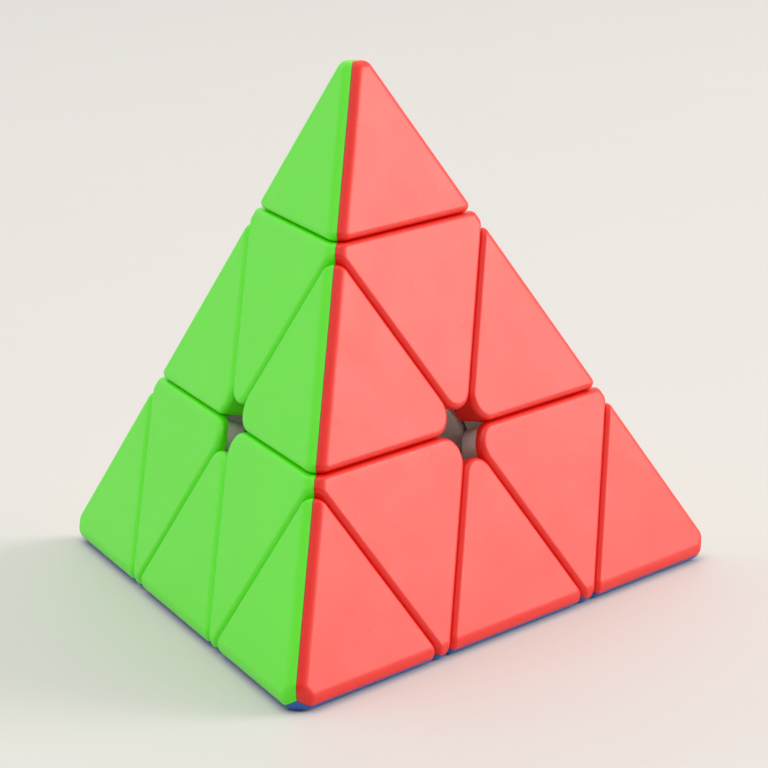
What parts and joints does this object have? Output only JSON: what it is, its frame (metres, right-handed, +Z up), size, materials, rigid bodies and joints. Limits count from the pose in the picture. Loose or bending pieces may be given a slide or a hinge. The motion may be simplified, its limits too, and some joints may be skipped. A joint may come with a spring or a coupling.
{
  "type": "pyramid twisty puzzle",
  "caption": "Tetrahedral twisty puzzle with coloured plastic shells over grey bodies on a sprung core; the corner layers and the tips turn about the corner axes.",
  "frame": {"origin": "centre of the core, where the four turning axes meet; this is also the centroid of the whole puzzle", "axes": "+Z up through the top tip and at a right angle to the resting face, -Y towards the front corner, +X towards the right-hand corner's side"},
  "size_m": [0.099, 0.0869, 0.0812],
  "materials": {
    "green_plastic": "satin moulded plastic, bright green",
    "red_plastic": "satin moulded plastic, bright red",
    "yellow_plastic": "satin moulded plastic, bright yellow",
    "blue_plastic": "satin moulded plastic, blue",
    "inner_plastic": "matt moulded plastic, mid grey",
    "core_plastic": "smooth moulded nylon, pale grey",
    "screw_steel": "zinc-plated steel",
    "washer_steel": "bright stamped steel",
    "spring_steel": "drawn spring steel wire"
  },
  "bodies": {
    "core": {"core": "core_plastic", "axle_screws": "screw_steel", "washers": "washer_steel", "springs": "spring_steel"},
    "top_axial": {"top_axial_body": "inner_plastic", "top_axial_yellow": "yellow_plastic", "top_axial_green": "green_plastic", "top_axial_red": "red_plastic"},
    "front_axial": {"front_axial_body": "inner_plastic", "front_axial_blue": "blue_plastic", "front_axial_green": "green_plastic", "front_axial_red": "red_plastic"},
    "right_axial": {"right_axial_body": "inner_plastic", "right_axial_blue": "blue_plastic", "right_axial_yellow": "yellow_plastic", "right_axial_red": "red_plastic"},
    "left_axial": {"left_axial_body": "inner_plastic", "left_axial_blue": "blue_plastic", "left_axial_yellow": "yellow_plastic", "left_axial_green": "green_plastic"},
    "top_tip": {"top_tip_base": "inner_plastic", "top_tip_yellow": "yellow_plastic", "top_tip_green": "green_plastic", "top_tip_red": "red_plastic"},
    "front_tip": {"front_tip_base": "inner_plastic", "front_tip_blue": "blue_plastic", "front_tip_green": "green_plastic", "front_tip_red": "red_plastic"},
    "right_tip": {"right_tip_base": "inner_plastic", "right_tip_blue": "blue_plastic", "right_tip_yellow": "yellow_plastic", "right_tip_red": "red_plastic"},
    "left_tip": {"left_tip_base": "inner_plastic", "left_tip_blue": "blue_plastic", "left_tip_yellow": "yellow_plastic", "left_tip_green": "green_plastic"},
    "front_edge": {"front_edge_foot": "inner_plastic", "front_edge_green": "green_plastic", "front_edge_red": "red_plastic"},
    "right_edge": {"right_edge_foot": "inner_plastic", "right_edge_yellow": "yellow_plastic", "right_edge_red": "red_plastic"},
    "left_edge": {"left_edge_foot": "inner_plastic", "left_edge_yellow": "yellow_plastic", "left_edge_green": "green_plastic"},
    "right_base_edge": {"right_base_edge_foot": "inner_plastic", "right_base_edge_blue": "blue_plastic", "right_base_edge_red": "red_plastic"},
    "left_base_edge": {"left_base_edge_foot": "inner_plastic", "left_base_edge_blue": "blue_plastic", "left_base_edge_green": "green_plastic"},
    "back_base_edge": {"back_base_edge_foot": "inner_plastic", "back_base_edge_blue": "blue_plastic", "back_base_edge_yellow": "yellow_plastic"}
  },
  "joints": [
    {"name": "top_layer_turn", "type": "hinge", "parent": "core", "child": "top_axial", "pos_m": [0, 0, 0], "axis": [0, 0, 1], "range_deg": [-480, 480]},
    {"name": "front_layer_turn", "type": "hinge", "parent": "core", "child": "front_axial", "pos_m": [0, 0, 0], "axis": [0, -0.9428, -0.3333], "range_deg": [-480, 480]},
    {"name": "right_layer_turn", "type": "hinge", "parent": "core", "child": "right_axial", "pos_m": [0, 0, 0], "axis": [0.8165, 0.4714, -0.3333], "range_deg": [-480, 480]},
    {"name": "left_layer_turn", "type": "hinge", "parent": "core", "child": "left_axial", "pos_m": [0, 0, 0], "axis": [-0.8165, 0.4714, -0.3333], "range_deg": [-600, 480]},
    {"name": "top_tip_turn", "type": "hinge", "parent": "top_axial", "child": "top_tip", "pos_m": [0, 0, 0], "axis": [0, 0, 1], "continuous": true},
    {"name": "front_tip_turn", "type": "hinge", "parent": "front_axial", "child": "front_tip", "pos_m": [0, 0, 0], "axis": [0, -0.9428, -0.3333], "continuous": true},
    {"name": "right_tip_turn", "type": "hinge", "parent": "right_axial", "child": "right_tip", "pos_m": [0, 0, 0], "axis": [0.8165, 0.4714, -0.3333], "continuous": true},
    {"name": "left_tip_turn", "type": "hinge", "parent": "left_axial", "child": "left_tip", "pos_m": [0, 0, 0], "axis": [-0.8165, 0.4714, -0.3333], "continuous": true},
    {"name": "front_edge_turn", "type": "hinge", "parent": "top_axial", "child": "front_edge", "pos_m": [0, 0, 0], "axis": [0, -0.9428, -0.3333], "range_deg": [-480, 480]},
    {"name": "right_edge_turn", "type": "hinge", "parent": "right_axial", "child": "right_edge", "pos_m": [0, 0, 0], "axis": [0, 0, 1], "range_deg": [-480, 480]},
    {"name": "left_edge_turn", "type": "hinge", "parent": "top_axial", "child": "left_edge", "pos_m": [0, 0, 0], "axis": [-0.8165, 0.4714, -0.3333], "range_deg": [-600, 480]},
    {"name": "right_base_edge_turn", "type": "hinge", "parent": "front_axial", "child": "right_base_edge", "pos_m": [0, 0, 0], "axis": [0.8165, 0.4714, -0.3333], "range_deg": [-480, 480]},
    {"name": "left_base_edge_turn", "type": "hinge", "parent": "front_axial", "child": "left_base_edge", "pos_m": [0, 0, 0], "axis": [-0.8165, 0.4714, -0.3333], "range_deg": [-600, 480]},
    {"name": "back_base_edge_turn", "type": "hinge", "parent": "right_axial", "child": "back_base_edge", "pos_m": [0, 0, 0], "axis": [-0.8165, 0.4714, -0.3333], "range_deg": [-600, 480]}
  ],
  "couplings": [
    {"joint": "front_edge_turn", "follows": "front_layer_turn", "ratio": 1},
    {"joint": "right_edge_turn", "follows": "top_layer_turn", "ratio": 1},
    {"joint": "left_edge_turn", "follows": "left_layer_turn", "ratio": 1},
    {"joint": "right_base_edge_turn", "follows": "right_layer_turn", "ratio": 1},
    {"joint": "left_base_edge_turn", "follows": "left_layer_turn", "ratio": 1},
    {"joint": "back_base_edge_turn", "follows": "left_layer_turn", "ratio": 1}
  ]
}
